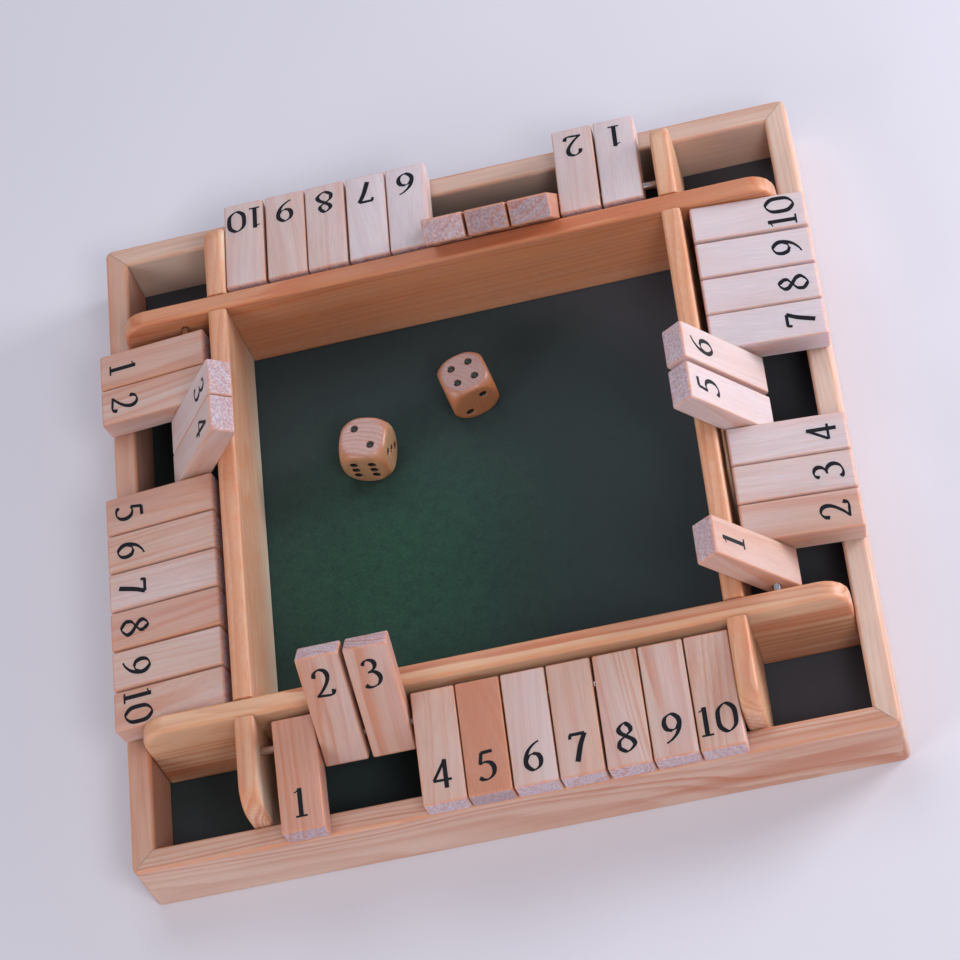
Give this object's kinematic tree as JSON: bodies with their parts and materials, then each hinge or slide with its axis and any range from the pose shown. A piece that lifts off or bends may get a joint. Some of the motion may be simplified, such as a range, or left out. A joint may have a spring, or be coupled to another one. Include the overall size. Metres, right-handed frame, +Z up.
{
  "type": "shut the box game",
  "caption": "Square wooden tray with a felt floor and crossing dividers, rows of numbered tiles that flip on steel rods along each side, and loose wooden dice.",
  "frame": {"origin": "middle of the tray's underside", "axes": "+Z up; +X to the front player's right; the front player sits at -Y"},
  "size_m": [0.2824, 0.2824, 0.068],
  "materials": {
    "pine_wall": "sanded pine with a thin clear coat",
    "pine_divider": "sanded pine with a thin clear coat",
    "tile_pine": "sanded pine, printed numbers",
    "die_wood": "varnished wood with black drilled pips",
    "base_ply": "raw thin plywood",
    "green_felt": "dark green felt",
    "rod_steel": "bright drawn steel"
  },
  "bodies": {
    "tray": {"base_board": "base_ply", "felt_lining": "green_felt", "front_wall": "pine_wall", "front_divider": "pine_divider", "front_rod": "rod_steel", "right_wall": "pine_wall", "right_divider": "pine_divider", "right_rod": "rod_steel", "back_wall": "pine_wall", "back_divider": "pine_divider", "back_rod": "rod_steel", "left_wall": "pine_wall", "left_divider": "pine_divider", "left_rod": "rod_steel"},
    "front_tile_1": {"front_tile_1": "tile_pine"},
    "front_tile_2": {"front_tile_2": "tile_pine"},
    "front_tile_3": {"front_tile_3": "tile_pine"},
    "front_tile_4": {"front_tile_4": "tile_pine"},
    "front_tile_5": {"front_tile_5": "tile_pine"},
    "front_tile_6": {"front_tile_6": "tile_pine"},
    "front_tile_7": {"front_tile_7": "tile_pine"},
    "front_tile_8": {"front_tile_8": "tile_pine"},
    "front_tile_9": {"front_tile_9": "tile_pine"},
    "front_tile_10": {"front_tile_10": "tile_pine"},
    "right_tile_1": {"right_tile_1": "tile_pine"},
    "right_tile_2": {"right_tile_2": "tile_pine"},
    "right_tile_3": {"right_tile_3": "tile_pine"},
    "right_tile_4": {"right_tile_4": "tile_pine"},
    "right_tile_5": {"right_tile_5": "tile_pine"},
    "right_tile_6": {"right_tile_6": "tile_pine"},
    "right_tile_7": {"right_tile_7": "tile_pine"},
    "right_tile_8": {"right_tile_8": "tile_pine"},
    "right_tile_9": {"right_tile_9": "tile_pine"},
    "right_tile_10": {"right_tile_10": "tile_pine"},
    "back_tile_1": {"back_tile_1": "tile_pine"},
    "back_tile_2": {"back_tile_2": "tile_pine"},
    "back_tile_3": {"back_tile_3": "tile_pine"},
    "back_tile_4": {"back_tile_4": "tile_pine"},
    "back_tile_5": {"back_tile_5": "tile_pine"},
    "back_tile_6": {"back_tile_6": "tile_pine"},
    "back_tile_7": {"back_tile_7": "tile_pine"},
    "back_tile_8": {"back_tile_8": "tile_pine"},
    "back_tile_9": {"back_tile_9": "tile_pine"},
    "back_tile_10": {"back_tile_10": "tile_pine"},
    "left_tile_1": {"left_tile_1": "tile_pine"},
    "left_tile_2": {"left_tile_2": "tile_pine"},
    "left_tile_3": {"left_tile_3": "tile_pine"},
    "left_tile_4": {"left_tile_4": "tile_pine"},
    "left_tile_5": {"left_tile_5": "tile_pine"},
    "left_tile_6": {"left_tile_6": "tile_pine"},
    "left_tile_7": {"left_tile_7": "tile_pine"},
    "left_tile_8": {"left_tile_8": "tile_pine"},
    "left_tile_9": {"left_tile_9": "tile_pine"},
    "left_tile_10": {"left_tile_10": "tile_pine"},
    "die_1": {"die_1": "die_wood"},
    "die_2": {"die_2": "die_wood"}
  },
  "joints": [
    {"name": "front_tile_1_flip", "type": "hinge", "parent": "tray", "child": "front_tile_1", "pos_m": [-0.07316, -0.10595, 0.037], "axis": [-1, 0, 0], "range_deg": [0, 131]},
    {"name": "front_tile_2_flip", "type": "hinge", "parent": "tray", "child": "front_tile_2", "pos_m": [-0.05651, -0.10595, 0.037], "axis": [-1, 0, 0], "range_deg": [-131, 0]},
    {"name": "front_tile_3_flip", "type": "hinge", "parent": "tray", "child": "front_tile_3", "pos_m": [-0.03887, -0.10595, 0.037], "axis": [-1, 0, 0], "range_deg": [-131, 0]},
    {"name": "front_tile_4_flip", "type": "hinge", "parent": "tray", "child": "front_tile_4", "pos_m": [-0.02131, -0.10595, 0.037], "axis": [-1, 0, 0], "range_deg": [0, 131]},
    {"name": "front_tile_5_flip", "type": "hinge", "parent": "tray", "child": "front_tile_5", "pos_m": [-0.00482, -0.10595, 0.037], "axis": [-1, 0, 0], "range_deg": [0, 131]},
    {"name": "front_tile_6_flip", "type": "hinge", "parent": "tray", "child": "front_tile_6", "pos_m": [0.01184, -0.10595, 0.037], "axis": [-1, 0, 0], "range_deg": [0, 131]},
    {"name": "front_tile_7_flip", "type": "hinge", "parent": "tray", "child": "front_tile_7", "pos_m": [0.02849, -0.10595, 0.037], "axis": [-1, 0, 0], "range_deg": [0, 131]},
    {"name": "front_tile_8_flip", "type": "hinge", "parent": "tray", "child": "front_tile_8", "pos_m": [0.04548, -0.10595, 0.037], "axis": [-1, 0, 0], "range_deg": [0, 131]},
    {"name": "front_tile_9_flip", "type": "hinge", "parent": "tray", "child": "front_tile_9", "pos_m": [0.06205, -0.10595, 0.037], "axis": [-1, 0, 0], "range_deg": [0, 131]},
    {"name": "front_tile_10_flip", "type": "hinge", "parent": "tray", "child": "front_tile_10", "pos_m": [0.07863, -0.10595, 0.037], "axis": [-1, 0, 0], "range_deg": [0, 131]},
    {"name": "right_tile_1_flip", "type": "hinge", "parent": "tray", "child": "right_tile_1", "pos_m": [0.10595, -0.07316, 0.037], "axis": [0, -1, 0], "range_deg": [-131, 0]},
    {"name": "right_tile_2_flip", "type": "hinge", "parent": "tray", "child": "right_tile_2", "pos_m": [0.10595, -0.05659, 0.037], "axis": [0, -1, 0], "range_deg": [0, 131]},
    {"name": "right_tile_3_flip", "type": "hinge", "parent": "tray", "child": "right_tile_3", "pos_m": [0.10595, -0.03993, 0.037], "axis": [0, -1, 0], "range_deg": [0, 131]},
    {"name": "right_tile_4_flip", "type": "hinge", "parent": "tray", "child": "right_tile_4", "pos_m": [0.10595, -0.02328, 0.037], "axis": [0, -1, 0], "range_deg": [0, 131]},
    {"name": "right_tile_5_flip", "type": "hinge", "parent": "tray", "child": "right_tile_5", "pos_m": [0.10595, -0.00695, 0.037], "axis": [0, -1, 0], "range_deg": [-131, 0]},
    {"name": "right_tile_6_flip", "type": "hinge", "parent": "tray", "child": "right_tile_6", "pos_m": [0.10595, 0.01094, 0.037], "axis": [0, -1, 0], "range_deg": [-131, 0]},
    {"name": "right_tile_7_flip", "type": "hinge", "parent": "tray", "child": "right_tile_7", "pos_m": [0.10595, 0.02792, 0.037], "axis": [0, -1, 0], "range_deg": [0, 131]},
    {"name": "right_tile_8_flip", "type": "hinge", "parent": "tray", "child": "right_tile_8", "pos_m": [0.10595, 0.04449, 0.037], "axis": [0, -1, 0], "range_deg": [0, 131]},
    {"name": "right_tile_9_flip", "type": "hinge", "parent": "tray", "child": "right_tile_9", "pos_m": [0.10595, 0.0614, 0.037], "axis": [0, -1, 0], "range_deg": [0, 131]},
    {"name": "right_tile_10_flip", "type": "hinge", "parent": "tray", "child": "right_tile_10", "pos_m": [0.10595, 0.07863, 0.037], "axis": [0, -1, 0], "range_deg": [0, 131]},
    {"name": "back_tile_1_flip", "type": "hinge", "parent": "tray", "child": "back_tile_1", "pos_m": [0.07316, 0.10595, 0.037], "axis": [1, 0, 0], "range_deg": [0, 131]},
    {"name": "back_tile_2_flip", "type": "hinge", "parent": "tray", "child": "back_tile_2", "pos_m": [0.05634, 0.10595, 0.037], "axis": [1, 0, 0], "range_deg": [0, 131]},
    {"name": "back_tile_3_flip", "type": "hinge", "parent": "tray", "child": "back_tile_3", "pos_m": [0.03977, 0.10595, 0.037], "axis": [1, 0, 0], "range_deg": [-131, 0]},
    {"name": "back_tile_4_flip", "type": "hinge", "parent": "tray", "child": "back_tile_4", "pos_m": [0.02287, 0.10595, 0.037], "axis": [1, 0, 0], "range_deg": [-131, 0]},
    {"name": "back_tile_5_flip", "type": "hinge", "parent": "tray", "child": "back_tile_5", "pos_m": [0.0058, 0.10595, 0.037], "axis": [1, 0, 0], "range_deg": [-131, 0]},
    {"name": "back_tile_6_flip", "type": "hinge", "parent": "tray", "child": "back_tile_6", "pos_m": [-0.01176, 0.10595, 0.037], "axis": [1, 0, 0], "range_deg": [0, 131]},
    {"name": "back_tile_7_flip", "type": "hinge", "parent": "tray", "child": "back_tile_7", "pos_m": [-0.02825, 0.10595, 0.037], "axis": [1, 0, 0], "range_deg": [0, 131]},
    {"name": "back_tile_8_flip", "type": "hinge", "parent": "tray", "child": "back_tile_8", "pos_m": [-0.04507, 0.10595, 0.037], "axis": [1, 0, 0], "range_deg": [0, 131]},
    {"name": "back_tile_9_flip", "type": "hinge", "parent": "tray", "child": "back_tile_9", "pos_m": [-0.06156, 0.10595, 0.037], "axis": [1, 0, 0], "range_deg": [0, 131]},
    {"name": "back_tile_10_flip", "type": "hinge", "parent": "tray", "child": "back_tile_10", "pos_m": [-0.07863, 0.10595, 0.037], "axis": [1, 0, 0], "range_deg": [0, 131]},
    {"name": "left_tile_1_flip", "type": "hinge", "parent": "tray", "child": "left_tile_1", "pos_m": [-0.10595, 0.07316, 0.037], "axis": [0, 1, 0], "range_deg": [0, 131]},
    {"name": "left_tile_2_flip", "type": "hinge", "parent": "tray", "child": "left_tile_2", "pos_m": [-0.10595, 0.05659, 0.037], "axis": [0, 1, 0], "range_deg": [0, 131]},
    {"name": "left_tile_3_flip", "type": "hinge", "parent": "tray", "child": "left_tile_3", "pos_m": [-0.10595, 0.0401, 0.037], "axis": [0, 1, 0], "range_deg": [-131, 0]},
    {"name": "left_tile_4_flip", "type": "hinge", "parent": "tray", "child": "left_tile_4", "pos_m": [-0.10595, 0.02369, 0.037], "axis": [0, 1, 0], "range_deg": [-131, 0]},
    {"name": "left_tile_5_flip", "type": "hinge", "parent": "tray", "child": "left_tile_5", "pos_m": [-0.10595, 0.00605, 0.037], "axis": [0, 1, 0], "range_deg": [0, 131]},
    {"name": "left_tile_6_flip", "type": "hinge", "parent": "tray", "child": "left_tile_6", "pos_m": [-0.10595, -0.01077, 0.037], "axis": [0, 1, 0], "range_deg": [0, 131]},
    {"name": "left_tile_7_flip", "type": "hinge", "parent": "tray", "child": "left_tile_7", "pos_m": [-0.10595, -0.02768, 0.037], "axis": [0, 1, 0], "range_deg": [0, 131]},
    {"name": "left_tile_8_flip", "type": "hinge", "parent": "tray", "child": "left_tile_8", "pos_m": [-0.10595, -0.04458, 0.037], "axis": [0, 1, 0], "range_deg": [0, 131]},
    {"name": "left_tile_9_flip", "type": "hinge", "parent": "tray", "child": "left_tile_9", "pos_m": [-0.10595, -0.06156, 0.037], "axis": [0, 1, 0], "range_deg": [0, 131]},
    {"name": "left_tile_10_flip", "type": "hinge", "parent": "tray", "child": "left_tile_10", "pos_m": [-0.10595, -0.07863, 0.037], "axis": [0, 1, 0], "range_deg": [0, 131]},
    {"name": "die_1_lift", "type": "slide", "parent": "tray", "child": "die_1", "axis": [0, 0, 1], "range_m": [0, 0.06]},
    {"name": "die_2_lift", "type": "slide", "parent": "tray", "child": "die_2", "axis": [0, 0, 1], "range_m": [0, 0.06]}
  ]
}
